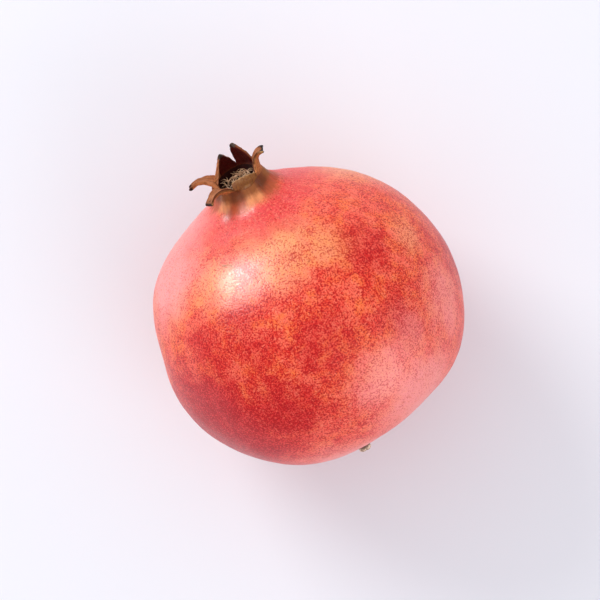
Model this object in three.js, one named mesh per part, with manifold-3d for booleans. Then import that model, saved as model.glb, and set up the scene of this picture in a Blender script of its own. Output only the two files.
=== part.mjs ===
// A pomegranate that lies on its side: a leathery globe drawn out into a short neck, a crown of six
// sepals round the neck's mouth, the dried stamens and style inside it, and the broken stub of the stem.
//
// Millimetres, +Z up. The origin is the middle of the flat spot that the fruit rests on. The crown points
// towards -Y and is raised. Everything is first made upright in the fruit's own frame, with its axis on Z,
// its crown on top and z = 0 at the globe's middle, and is then laid down. Longitude runs from X towards Y.

import * as THREE from 'three';
import { mergeVertices } from 'three/addons/utils/BufferGeometryUtils.js';
import Module from 'manifold-3d';

// The globe
const GLOBE_RADIUS = 47.5;
const CROWN_POLE = 44.6; // height of the crown end over the middle, if the globe had no neck
const STEM_POLE = 42.4;
const CROWN_FULLNESS = 2.1; // 2 is an ellipse, and more is squarer
const STEM_FULLNESS = 2.3;
const RIB_COUNT = 6;
const RIB_HEIGHT = 0.4;
const RIB_LONGITUDE = 52;
const FLAT_DEPTH = 0.8; // how much of the globe the flat spot takes away
const RAISED = 23; // degrees that the crown is raised over the ground

// Bulges and dents of the globe: degrees of longitude, latitude and spread, and mm of height
const BULGES = [
  { longitude: 5, latitude: -11, height: 0.5, spread: 15 },
  { longitude: 47, latitude: -60, height: 0.3, spread: 18 },
  { longitude: 123, latitude: -63, height: -2.5, spread: 19 },
  { longitude: 161, latitude: -38, height: 0.6, spread: 13 },
  { longitude: 178, latitude: -5, height: 0.6, spread: 13 },
  { longitude: 232, latitude: 62, height: -0.6, spread: 16 },
  { longitude: 342, latitude: 35, height: 0.9, spread: 14 },
  { longitude: 355, latitude: 11, height: -1.3, spread: 11 },
];

// The neck and its cup, as radius and height
const NECK_OUTLINE = [
  [20, 41.1], [17, 42.6], [14, 44.2], [11.2, 46.2], [9.3, 48.5], [8.4, 50.5], [7.9, 52.2],
];
const CUP_OUTLINE = [[6.5, 52.2], [6.4, 50.5], [6, 48], [5, 46.2], [3, 45.3]];
const CUP_FLOOR = 45.1;
const NECK_RIM = 52.2;
const NECK_RIDGE = 0.55; // how far the ridge below each sepal stands out of the neck
const RIDGE_FROM = 5; // radii between which the ridges come on, so that the cup's floor has none
const RIDGE_TO = 8;
const CROWN_LEAN = 10; // degrees that the crown bends towards +Y from the fruit's axis
const LEAN_FROM = 40; // heights between which the bend comes on
const LEAN_TO = 50;
const LEAN_PIVOT = 46;
const GAP = 0.3; // between neighbouring pieces

// The sepals: the longitudes of their two edges, the length, the slope of the spine away from the fruit's
// axis at the root, how far it turns outwards by the tip (less than 0 is inwards), how late that turn
// comes, and the width of the tip as a part of the width of the root
const SEPAL_ROOT_RADIUS = 7.2;
const SEPAL_ROOT_THICKNESS = 1.4;
const SEPAL_TIP_THICKNESS = 0.8;
const SEPAL_TIP_WRAP = 0.5; // how much of the mouth's roundness a blade keeps at its tip
const SEPAL_STEPS = 10; // slices along a blade
const SEPALS = [
  { from: 65, to: 128, length: 4, slope: -6, turn: -55, late: 1, tip: 0.62 },
  { from: 15, to: 65, length: 12, slope: 25, turn: 120, late: 1.1, tip: 0.16 },
  { from: -37, to: 15, length: 10.5, slope: 22, turn: 125, late: 1.3, tip: 0.18 },
  { from: 259, to: 323, length: 7.6, slope: -8, turn: -24, late: 1, tip: 0.1 },
  { from: 207, to: 259, length: 9.2, slope: -5, turn: -20, late: 1, tip: 0.12 },
  { from: 128, to: 207, length: 8.4, slope: 8, turn: 120, late: 4, tip: 0.16 },
];

// The stamens stand in rings on the cup's wall: how many, and the radius and height of root and tip
const STAMEN_RADIUS = 0.26;
const STAMEN_SWING = 1.4; // how far a stamen curls sideways
const STAMEN_STAGGER = 0.5; // neighbours are this much shorter, in threes
const STAMEN_KNOTS = 4;
const STAMEN_RINGS = [
  { count: 18, rootRadius: 5.3, rootHeight: 48, tipRadius: 4.3, tipHeight: 53.4 },
  { count: 13, rootRadius: 3.7, rootHeight: 46.4, tipRadius: 3, tipHeight: 53.8 },
  { count: 7, rootRadius: 2.2, rootHeight: 46, tipRadius: 1.7, tipHeight: 52.8 },
];
const STYLE_OUTLINE = [[0.9, 45.7], [0.55, 47.5], [0.45, 49.6], [0.75, 50.6], [0.7, 51.1]];

// The stem's stub
const STEM_OFFSET = 3; // from the fruit's axis, along X
const STEM_GAP = 0.45; // a little more than GAP, because the globe is round under the stub's flat foot
const STEM_OUTLINE = [[1.6, 0], [2.2, 0.5], [1.9, 1.6], [1.7, 3.4], [1.8, 5], [1.5, 5.9]];

const GLOBE_SEGMENTS = 48;
const GLOBE_ROWS = 26;

const rindColour = new THREE.MeshStandardMaterial({ color: 0xc8453c, roughness: 0.4, metalness: 0 });
const sepalColour = new THREE.MeshStandardMaterial({ color: 0xa06a3c, roughness: 0.6, metalness: 0 });
const stamenColour = new THREE.MeshStandardMaterial({ color: 0xb98a72, roughness: 0.8, metalness: 0 });
const stemColour = new THREE.MeshStandardMaterial({ color: 0xbfa183, roughness: 0.8, metalness: 0 });

const radians = THREE.MathUtils.degToRad;
const smoothstep = THREE.MathUtils.smoothstep;

function globeRadius(latitude) {
  const across = Math.abs(Math.cos(latitude)) / GLOBE_RADIUS;
  const pole = latitude > 0 ? CROWN_POLE : STEM_POLE;
  const fullness = latitude > 0 ? CROWN_FULLNESS : STEM_FULLNESS;
  const along = Math.abs(Math.sin(latitude)) / pole;
  return (across ** fullness + along ** fullness) ** (-1 / fullness);
}

function unitVector(longitude, latitude) {
  const level = Math.cos(latitude);
  return new THREE.Vector3(
    level * Math.cos(longitude),
    level * Math.sin(longitude),
    Math.sin(latitude),
  );
}

// How far the rind stands out of the plain globe in a direction: the six faint ribs and the bulges
function unevenness(direction) {
  const longitude = Math.atan2(direction.y, direction.x);
  const level = 1 - direction.z ** 2;
  let height = RIB_HEIGHT * level * Math.cos(RIB_COUNT * (longitude - radians(RIB_LONGITUDE)));
  for (const bulge of BULGES) {
    const middle = unitVector(radians(bulge.longitude), radians(bulge.latitude));
    const away = direction.angleTo(middle) / radians(bulge.spread);
    height += bulge.height * Math.exp(-(away ** 2));
  }
  return height;
}

// 1 on the middle line of each sepal, and -1 between two of them
function ridge(longitude) {
  const degrees = THREE.MathUtils.radToDeg(longitude);
  for (const sepal of SEPALS) {
    const into = THREE.MathUtils.euclideanModulo(degrees - sepal.from, 360);
    const width = sepal.to - sepal.from;
    if (into < width) {
      return -Math.cos((2 * Math.PI * into) / width);
    }
  }
  return -1;
}

// Bends the crown towards +Y
function lean(point) {
  const angle = radians(CROWN_LEAN) * smoothstep(point.z, LEAN_FROM, LEAN_TO);
  const rise = point.z - LEAN_PIVOT;
  const along = point.y;
  point.y = along * Math.cos(angle) + rise * Math.sin(angle);
  point.z = LEAN_PIVOT + rise * Math.cos(angle) - along * Math.sin(angle);
}

// Hands each vertex to a function that may move it
function moveVertices(geometry, move) {
  const positions = geometry.attributes.position;
  const point = new THREE.Vector3();
  for (let i = 0; i < positions.count; i += 1) {
    point.fromBufferAttribute(positions, i);
    move(point);
    positions.setXYZ(i, point.x, point.y, point.z);
  }
  return geometry;
}

// Turns an outline of radius and height round the Z axis
function turned(outline, segments) {
  const geometry = new THREE.LatheGeometry(
    outline.map(([radius, height]) => new THREE.Vector2(radius, height)),
    segments,
  );
  return geometry.rotateX(Math.PI / 2);
}

function smoothOutline(outline, rows) {
  const curve = new THREE.SplineCurve(outline.map(([radius, height]) => new THREE.Vector2(radius, height)));
  return curve.getPoints(rows).map((point) => [point.x, point.y]);
}

function tubeAlong(points, radius, sides, steps) {
  const section = new THREE.Shape();
  for (let side = 0; side < sides; side += 1) {
    const angle = (2 * Math.PI * side) / sides;
    const corner = [radius * Math.cos(angle), radius * Math.sin(angle)];
    if (side === 0) {
      section.moveTo(...corner);
    } else {
      section.lineTo(...corner);
    }
  }
  section.closePath();
  const path = new THREE.CatmullRomCurve3(points);
  return new THREE.ExtrudeGeometry(section, { steps, bevelEnabled: false, extrudePath: path });
}

// The globe, the neck and the cup are one skin
function makeFruit() {
  const outline = [];
  const [shoulderRadius, shoulderHeight] = NECK_OUTLINE[0];
  const shoulder = Math.atan2(shoulderHeight, shoulderRadius);
  for (let row = 0; row < GLOBE_ROWS; row += 1) {
    const latitude = -Math.PI / 2 + (row / GLOBE_ROWS) * (shoulder + Math.PI / 2);
    const radius = globeRadius(latitude);
    outline.push([row === 0 ? 0 : radius * Math.cos(latitude), radius * Math.sin(latitude)]);
  }
  outline.push(...smoothOutline(NECK_OUTLINE, 9));
  outline.push(...smoothOutline(CUP_OUTLINE, 6));
  outline.push([0, CUP_FLOOR]);

  return moveVertices(turned(outline, GLOBE_SEGMENTS), (point) => {
    const length = point.length();
    const onGlobe = 1 - smoothstep(point.z, LEAN_FROM, LEAN_PIVOT);
    const height = unevenness(point.clone().normalize()) * onGlobe;
    point.multiplyScalar(1 + height / length);

    const fromAxis = Math.hypot(point.x, point.y);
    if (point.z > LEAN_FROM && fromAxis > 0) {
      const onNeck = smoothstep(point.z, LEAN_FROM, LEAN_TO) * smoothstep(fromAxis, RIDGE_FROM, RIDGE_TO);
      const stretch = 1 + (NECK_RIDGE * onNeck * ridge(Math.atan2(point.y, point.x))) / fromAxis;
      point.x *= stretch;
      point.y *= stretch;
    }
    lean(point);
  });
}

// A sepal is a tapered slab bent along its spine and wrapped round the neck's mouth
function makeSepal({ from, to, length, slope, turn, late, tip }) {
  const middle = radians((from + to) / 2);
  const rootWidth = radians(to - from) * SEPAL_ROOT_RADIUS - GAP;
  const spine = [];
  let radius = SEPAL_ROOT_RADIUS;
  let height = NECK_RIM + GAP;
  for (let step = 0; step <= SEPAL_STEPS; step += 1) {
    const angle = radians(slope + turn * (step / SEPAL_STEPS) ** late);
    spine.push({ radius, height, angle });
    radius += (length / SEPAL_STEPS) * Math.sin(angle);
    height += (length / SEPAL_STEPS) * Math.cos(angle);
  }

  const geometry = new THREE.BoxGeometry(1, 1, 1, 6, 1, SEPAL_STEPS);
  return moveVertices(geometry, (point) => {
    const along = point.z + 0.5;
    const { radius: spineRadius, height: spineHeight, angle } = spine[Math.round(along * SEPAL_STEPS)];
    const width = rootWidth * THREE.MathUtils.lerp(1, tip, along);
    const thickness = THREE.MathUtils.lerp(SEPAL_ROOT_THICKNESS, SEPAL_TIP_THICKNESS, along);
    const sideways = (point.x * width) / SEPAL_ROOT_RADIUS;
    const outwards = -point.y * thickness;
    // The blade flattens from the mouth's curve at its root as it rises
    const wrap = THREE.MathUtils.lerp(1, SEPAL_TIP_WRAP, along);
    const sag = SEPAL_ROOT_RADIUS * (1 - Math.cos(sideways)) * wrap;
    const fromAxis = spineRadius - sag * Math.cos(angle) + outwards * Math.cos(angle);
    const across = (SEPAL_ROOT_RADIUS + outwards) * Math.sin(sideways);
    point.set(
      fromAxis * Math.cos(middle) - across * Math.sin(middle),
      fromAxis * Math.sin(middle) + across * Math.cos(middle),
      spineHeight + (sag - outwards) * Math.sin(angle),
    );
    // The root is cut level, so that it stands evenly off the neck's rim
    point.z = Math.max(point.z, NECK_RIM + GAP);
    lean(point);
  });
}

// A stamen climbs from the cup's wall with one lazy curl, all of a ring the same way round
function makeStamen(ring, index) {
  const { count, rootRadius, rootHeight, tipRadius, tipHeight } = ring;
  const rootLongitude = (2 * Math.PI * index) / count + rootRadius;
  const swing = STAMEN_SWING / rootRadius;
  const points = [];
  for (let knot = 0; knot <= STAMEN_KNOTS; knot += 1) {
    const along = knot / STAMEN_KNOTS;
    const longitude = rootLongitude + swing * Math.sin(along * Math.PI * 0.8);
    const radius = THREE.MathUtils.lerp(rootRadius, tipRadius, along);
    const height = THREE.MathUtils.lerp(rootHeight, tipHeight - STAMEN_STAGGER * (index % 3), along);
    const point = new THREE.Vector3(radius * Math.cos(longitude), radius * Math.sin(longitude), height);
    lean(point);
    points.push(point);
  }
  return tubeAlong(points, STAMEN_RADIUS, 5, 6);
}

function makeStyle() {
  const profile = smoothOutline(STYLE_OUTLINE, 6);
  const bottom = profile[0][1];
  const top = profile[profile.length - 1][1];
  return moveVertices(turned([[0, bottom], ...profile, [0, top]], 8), lean);
}

// The stub points away from the globe, a little to one side of the stem's end
function makeStem() {
  const profile = smoothOutline(STEM_OUTLINE, 8);
  const top = profile[profile.length - 1][1];
  const geometry = turned([[0, 0], ...profile, [0, top]], 10);
  const latitude = -Math.acos(STEM_OFFSET / STEM_POLE);
  const direction = unitVector(0, latitude);
  const surface = globeRadius(latitude) + unevenness(direction);
  geometry.rotateX(Math.PI);
  geometry.translate(STEM_OFFSET, 0, -surface * Math.abs(direction.z) - STEM_GAP);
  return geometry;
}

function toManifold(wasm, geometry) {
  const bare = geometry.clone();
  bare.deleteAttribute('normal');
  bare.deleteAttribute('uv');
  const merged = mergeVertices(bare);
  return new wasm.Manifold(new wasm.Mesh({
    numProp: 3,
    vertProperties: merged.attributes.position.array,
    triVerts: Uint32Array.from(merged.index.array),
  }));
}

function fromManifold(solid) {
  const mesh = solid.getMesh();
  const geometry = new THREE.BufferGeometry();
  geometry.setAttribute('position', new THREE.BufferAttribute(mesh.vertProperties, 3));
  geometry.setIndex(new THREE.BufferAttribute(mesh.triVerts, 1));
  geometry.computeVertexNormals();
  return geometry;
}

function named(name, geometry, material) {
  const mesh = new THREE.Mesh(geometry, material);
  mesh.name = name;
  return mesh;
}

const wasm = await Module();
wasm.setup();

// The laid-down pieces turn about X, so that the crown points to -Y and up, and stand with the flat spot's
// depth below the ground
const laidDown = new THREE.Group();
laidDown.rotation.x = radians(90 - RAISED);
laidDown.updateMatrix();
const skin = makeFruit().applyMatrix4(laidDown.matrix);
skin.computeBoundingBox();
laidDown.position.z = -skin.boundingBox.min.z - FLAT_DEPTH;
skin.translate(0, 0, laidDown.position.z);

// The ground takes the flat spot off the globe, and the middle of that spot becomes the origin
const groundSize = 2 * GLOBE_RADIUS;
const ground = new THREE.BoxGeometry(groundSize, groundSize, groundSize);
ground.translate(0, 0, -groundSize / 2);
const fruit = fromManifold(toManifold(wasm, skin).subtract(toManifold(wasm, ground)));
const flatSpot = new THREE.Box3();
moveVertices(fruit, (point) => {
  if (point.z === 0) {
    flatSpot.expandByPoint(point);
  }
});
const middle = flatSpot.getCenter(new THREE.Vector3());
fruit.translate(-middle.x, -middle.y, 0);
laidDown.position.x = -middle.x;
laidDown.position.y = -middle.y;

const group = new THREE.Group();
group.add(named('fruit', fruit, rindColour));
group.add(laidDown);
SEPALS.forEach((sepal, index) => {
  laidDown.add(named(`sepal_${index + 1}`, makeSepal(sepal), sepalColour));
});
let stamenNumber = 0;
for (const ring of STAMEN_RINGS) {
  for (let index = 0; index < ring.count; index += 1) {
    stamenNumber += 1;
    const number = String(stamenNumber).padStart(2, '0');
    laidDown.add(named(`stamen_${number}`, makeStamen(ring, index), stamenColour));
  }
}
laidDown.add(named('style', makeStyle(), stamenColour));
laidDown.add(named('stem_stub', makeStem(), stemColour));

export default group;
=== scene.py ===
"""A pomegranate that lies on its side on pale paper, seen from straight above. Metres, +Z up.

Each piece is made upright in the fruit's own frame, with its axis on Z, its crown on top and z = 0 at
the globe's middle, and is then laid down on its flat spot, as the CAD pieces are. Longitude runs from
X towards Y.
"""

import random
from math import atan2, cos, degrees, hypot, pi, radians, sin

import bpy
from mathutils import Matrix, Vector


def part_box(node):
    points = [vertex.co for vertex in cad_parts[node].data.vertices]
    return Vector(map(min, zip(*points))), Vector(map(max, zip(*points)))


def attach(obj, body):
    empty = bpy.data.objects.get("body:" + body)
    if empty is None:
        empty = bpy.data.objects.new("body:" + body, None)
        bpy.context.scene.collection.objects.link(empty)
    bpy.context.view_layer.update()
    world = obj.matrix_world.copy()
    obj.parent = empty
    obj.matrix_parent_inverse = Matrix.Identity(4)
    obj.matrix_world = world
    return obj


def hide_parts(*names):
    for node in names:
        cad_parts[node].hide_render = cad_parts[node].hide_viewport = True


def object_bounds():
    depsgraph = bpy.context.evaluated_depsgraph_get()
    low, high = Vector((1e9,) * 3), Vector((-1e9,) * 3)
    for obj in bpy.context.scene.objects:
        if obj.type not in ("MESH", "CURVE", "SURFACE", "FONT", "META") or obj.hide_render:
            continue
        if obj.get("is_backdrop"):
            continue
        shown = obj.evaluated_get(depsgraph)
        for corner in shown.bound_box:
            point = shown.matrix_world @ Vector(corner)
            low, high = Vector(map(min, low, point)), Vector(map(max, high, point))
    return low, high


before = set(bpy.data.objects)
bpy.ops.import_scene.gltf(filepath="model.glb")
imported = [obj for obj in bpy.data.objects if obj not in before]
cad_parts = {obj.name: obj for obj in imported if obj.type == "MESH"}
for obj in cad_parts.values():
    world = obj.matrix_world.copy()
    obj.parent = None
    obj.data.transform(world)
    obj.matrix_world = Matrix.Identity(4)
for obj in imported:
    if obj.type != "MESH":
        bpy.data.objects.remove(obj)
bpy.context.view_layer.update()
bpy.ops.object.select_all(action="DESELECT")


# The camera hangs straight over the fruit and looks down at the paper. It is turned so that the crown
# points up and a little to the left in the picture, and stands far off with a long lens.

GLOBE_MIDDLE = Vector((-0.00142, 0.00009, 0.04695))
PICTURE_TURN = radians(152.9)
PICTURE_WIDTH = 0.1862
LENS = 300
SENSOR = 36
MIDDLE_LEFT = 0.0025  # how far the picture's middle is to the left of the globe's, and above it
MIDDLE_UP = 0.0046
picture_right = Vector((cos(PICTURE_TURN), sin(PICTURE_TURN), 0))
picture_up = Vector((-sin(PICTURE_TURN), cos(PICTURE_TURN), 0))
picture_middle = GLOBE_MIDDLE - MIDDLE_LEFT * picture_right + MIDDLE_UP * picture_up
camera_height = PICTURE_WIDTH * LENS / SENSOR

bpy.ops.object.camera_add(
    location=picture_middle + Vector((0, 0, camera_height)), rotation=(0, 0, PICTURE_TURN)
)
camera = bpy.context.object
camera.name = "camera"
camera.data.lens = LENS
camera.data.sensor_width = SENSOR
bpy.context.scene.camera = camera


# The studio: a wide sheet of white paper, a window on the crown's side, a fill light on the other side, a
# gloss panel and a white card that only show in the skin's shine, and an even pale surround.

PAPER_SIZE = 4
PAPER_COLOUR = (0.86, 0.86, 0.905, 1)
bpy.ops.mesh.primitive_plane_add(size=PAPER_SIZE, location=(0, 0, 0))
paper = bpy.context.object
paper.name = "paper"
paper_white = bpy.data.materials.new("paper_white")
paper_white.use_nodes = True
paper_shader = paper_white.node_tree.nodes["Principled BSDF"]
paper_shader.inputs["Base Color"].default_value = PAPER_COLOUR
paper_shader.inputs["Roughness"].default_value = 0.9
paper_shader.inputs["Specular IOR Level"].default_value = 0
paper.data.materials.append(paper_white)
paper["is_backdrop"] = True

PANEL_DISTANCE = 1.2


def add_panel(name, bearing, elevation, width, power, colour):
    """A soft light that faces the fruit. The bearing runs anticlockwise from the picture's right."""
    level = picture_right * cos(bearing) + picture_up * sin(bearing)
    towards = level * cos(elevation) + Vector((0, 0, sin(elevation)))
    turn = towards.to_track_quat("Z", "Y").to_euler()
    bpy.ops.object.light_add(type="AREA", location=GLOBE_MIDDLE + towards * PANEL_DISTANCE, rotation=turn)
    panel = bpy.context.object
    panel.name = name
    panel.data.shape = "DISK"
    panel.data.size = width
    panel.data.energy = power
    panel.data.color = colour
    panel.visible_camera = False
    return panel


# The window and the fill give the light, and the gloss panel and the card give the highlights
window = add_panel("window", radians(136), radians(34), 0.6, 6.8, (1, 0.99, 0.98))
window.visible_glossy = False
fill = add_panel("fill", radians(-45), radians(35), 0.9, 3.2, (1, 0.96, 0.97))
fill.visible_glossy = False
gloss = add_panel("gloss_panel", radians(145), radians(26), 0.38, 34, (1, 1, 1))
gloss.visible_diffuse = False
card = add_panel("white_card", radians(-35), radians(9), 1.1, 16, (1, 0.88, 0.91))
card.visible_diffuse = False

# The surround is darker where the skin mirrors it, as a studio's ceiling is, so that the reds stay deep
surround = bpy.data.worlds.new("surround")
surround.use_nodes = True
background = surround.node_tree.nodes["Background"]
background.inputs["Color"].default_value = (0.93, 0.95, 1, 1)
SURROUND_STRENGTH = 0.8
MIRRORED_SHARE = 0.1
mirrored = surround.node_tree.nodes.new("ShaderNodeLightPath").outputs["Is Glossy Ray"]
dimming = surround.node_tree.nodes.new("ShaderNodeMath")
dimming.operation = "MULTIPLY_ADD"
dimming.inputs[1].default_value = SURROUND_STRENGTH * (MIRRORED_SHARE - 1)
dimming.inputs[2].default_value = SURROUND_STRENGTH
surround.node_tree.links.new(mirrored, dimming.inputs[0])
surround.node_tree.links.new(dimming.outputs[0], background.inputs["Strength"])
bpy.context.scene.world = surround
bpy.context.scene.view_settings.view_transform = "Standard"


# The skin: the globe, the neck and the cup inside it grew as one leathery wall. It is drawn up ring by
# ring from the stem's end, over the globe, up the neck, and down into the cup.

MM = 0.001
NEAR = 0.01 * MM  # heights that differ by less are one ring
RING_SIDES = 48
GLOBE_RADIUS = 47.5
CROWN_POLE = 44.6
STEM_POLE = 42.4
CROWN_FULLNESS = 2.1
STEM_FULLNESS = 2.3
GLOBE_ROWS = 26
SHOULDER = (20, 41.1)
NECK_OUTLINE = [(17, 42.6), (14, 44.1), (11.2, 46), (9.3, 48.4), (8.4, 50.6), (7.9, 52.1)]
CUP_OUTLINE = [(6.3, 52.1), (6.2, 50.6), (5.9, 48.4), (5.1, 46.6), (3.4, 45.6), (1.2, 45.3)]
RAISED = radians(23)
UPRIGHT_TO_LAID = Matrix.Translation(GLOBE_MIDDLE) @ Matrix.Rotation(pi / 2 - RAISED, 4, "X")


def globe_point(latitude):
    """Radius from the axis and height, in mm, of the plain globe at a latitude: a slightly squared oval."""
    pole, fullness = (CROWN_POLE, CROWN_FULLNESS) if latitude > 0 else (STEM_POLE, STEM_FULLNESS)
    across = abs(cos(latitude)) / GLOBE_RADIUS
    along = abs(sin(latitude)) / pole
    reach = (across**fullness + along**fullness) ** (-1 / fullness)
    return reach * cos(latitude), reach * sin(latitude)


def smooth_step(low, high, value):
    share = min(max((value - low) / (high - low), 0), 1)
    return share * share * (3 - 2 * share)


def deselect_mesh():
    bpy.ops.object.mode_set(mode="EDIT")
    bpy.ops.mesh.select_all(action="DESELECT")
    bpy.ops.object.mode_set(mode="OBJECT")


def pick_only(piece):
    bpy.ops.object.select_all(action="DESELECT")
    piece.select_set(True)
    bpy.context.view_layer.objects.active = piece


def smooth_out(piece, levels):
    """Rounds off the active piece's coarse cage by subdivision."""
    smoothing = piece.modifiers.new("smoothing", "SUBSURF")
    smoothing.levels = levels
    smoothing.render_levels = levels
    bpy.ops.object.modifier_apply(modifier="smoothing")


def turn_selected(angle, axis, centre):
    """Turns what is selected by the right-hand rule. Without a window the operator turns the other way."""
    bpy.ops.transform.rotate(value=-angle, orient_axis=axis, center_override=centre)


def draw_up(rings):
    """Extrudes the selected first ring to the others. Each ring is its radius and height, in mm."""
    (radius, height), *others = rings
    for next_radius, next_height in others:
        rise = (next_height - height) * MM
        bpy.ops.mesh.extrude_region_move(TRANSFORM_OT_translate={"value": (0, 0, rise)})
        scale = next_radius / radius
        bpy.ops.transform.resize(value=(scale, scale, 1), center_override=(0, 0, 0))
        radius, height = next_radius, next_height


shoulder_latitude = atan2(SHOULDER[1], SHOULDER[0])
outline = []
for row in range(1, GLOBE_ROWS):
    outline.append(globe_point(-pi / 2 + row / GLOBE_ROWS * (shoulder_latitude + pi / 2)))
outline += [SHOULDER, *NECK_OUTLINE, *CUP_OUTLINE]

first_radius, first_height = outline[0]
bpy.ops.mesh.primitive_circle_add(
    vertices=RING_SIDES,
    radius=first_radius * MM,
    fill_type="NOTHING",
    location=(0, 0, first_height * MM),
)
rind = bpy.context.object
rind.name = "rind"
bpy.ops.object.transform_apply(location=True, rotation=True, scale=True)
bpy.ops.object.mode_set(mode="EDIT")
bpy.ops.mesh.select_all(action="SELECT")
draw_up(outline)
bpy.ops.mesh.merge(type="CENTER")
bpy.ops.object.mode_set(mode="OBJECT")

# The stem's end is closed with a fan that is drawn out to the pole
deselect_mesh()
for vertex in rind.data.vertices:
    vertex.select = abs(vertex.co.z - first_height * MM) < NEAR
bpy.ops.object.mode_set(mode="EDIT")
bpy.ops.mesh.select_mode(type="VERT")
bpy.ops.mesh.extrude_region_move(
    TRANSFORM_OT_translate={"value": (0, 0, (-STEM_POLE - first_height) * MM)}
)
bpy.ops.mesh.merge(type="CENTER")
bpy.ops.object.mode_set(mode="OBJECT")


# The crown: six sepals, which are lobes of the neck's rim. Two dark points stand at the back, one is broken
# off at the front, and three are dried into tongues that curl outwards. They are drawn out of the rim as
# part of the skin, so that each flows out of the neck, and are cut off when their shape is done.

# Each sepal: the edges of its part of the rim and of its ridge at the neck's foot, its length in mm, the
# slope of its spine away from the axis at the root, how far it turns outwards by the tip, how late that
# turn comes, its width at the waist and at the tip against its root, how far its tip is off to one side in
# mm, and how much its end is tilted sideways. Angles are in degrees
SEPAL_STEPS = 8
SEPALS = {
    "sepal_1": {
        "edges": (67.5, 136), "foot": (52, 138), "length": 3, "slope": -4, "turn": -50, "late": 1,
        "waist": 1.04, "tip": 0.95, "aside": 0.3, "tilt": -8,
    },
    "sepal_2": {
        "edges": (15, 67.5), "foot": (-8, 52), "length": 9.4, "slope": 44, "turn": 92, "late": 1.5,
        "waist": 0.52, "tip": 0.42, "aside": 0, "tilt": 0,
    },
    "sepal_3": {
        "edges": (-45, 15), "foot": (-50, -8), "length": 9.2, "slope": 33, "turn": 104, "late": 1.1,
        "waist": 0.36, "tip": 0.28, "aside": 0, "tilt": 0,
    },
    "sepal_4": {
        "edges": (255, 315), "foot": (255, 310), "length": 8.1, "slope": -8, "turn": -20, "late": 1,
        "waist": 0.66, "tip": 0.08, "aside": 0.7, "tilt": 0,
    },
    "sepal_5": {
        "edges": (202.5, 255), "foot": (204, 255), "length": 9.9, "slope": -5, "turn": -18, "late": 1,
        "waist": 0.82, "tip": 0.12, "aside": 0.4, "tilt": 0,
    },
    "sepal_6": {
        "edges": (136, 202.5), "foot": (138, 204), "length": 7.8, "slope": 10, "turn": 112, "late": 3.2,
        "waist": 0.4, "tip": 0.5, "aside": 0, "tilt": 0,
    },
}
RIM_HEIGHT = NECK_OUTLINE[-1][1]
RIM_MIDDLE = (NECK_OUTLINE[-1][0] + CUP_OUTLINE[0][0]) / 2
TIP_THICKNESS = 0.62
CUP_FLOOR = 45
INNER_REACH = RIM_MIDDLE + 0.2
SPREAD_FROM = 42 * MM  # the ridges go from their places at the foot to those at the rim between these
SPREAD_TO = 50 * MM

# Marks are painted on the mesh for the finishes: how much a place belongs to the inner side, its height
# in mm while upright, how deep in a valley between two sepals it lies, and where on its sepal it is
MARKS = ("inner_side", "upright_height", "valley", "along_sepal", "across_sepal")
for mark in MARKS:
    rind.data.attributes.new(mark, "FLOAT", "POINT")


def paint(mark, index, value):
    rind.data.attributes[mark].data[index].value = value


def ridge(longitude, height):
    """1 on the middle line of each sepal, and -1 between two of them. The ridges spread towards the foot."""
    risen = smooth_step(SPREAD_FROM, SPREAD_TO, height)
    for sepal in SEPALS.values():
        start, end = (foot + (edge - foot) * risen for foot, edge in zip(sepal["foot"], sepal["edges"]))
        into = (degrees(longitude) - start) % 360
        if into < end - start:
            return -cos(2 * pi * into / (end - start))
    return -1


for vertex in rind.data.vertices:
    x, y, z = vertex.co
    in_cup = z > CUP_FLOOR * MM and hypot(x, y) < INNER_REACH * MM
    paint("inner_side", vertex.index, 1.0 if in_cup else 0.0)
    paint("upright_height", vertex.index, z / MM)
    paint("valley", vertex.index, 0.5 - 0.5 * ridge(atan2(y, x), z))

# One material slot for each part, so that the faces of a sepal can be told from the others
for _ in ("rind", *SEPALS):
    rind.data.materials.append(None)


def blade_width(along, waist, tip):
    """A curve through the root's width, the waist's half way along, and the tip's."""
    root_part = 2 * (along - 0.5) * (along - 1)
    waist_part = 4 * along * (1 - along)
    tip_part = 2 * along * (along - 0.5)
    return root_part + waist * waist_part + tip * tip_part


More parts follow.
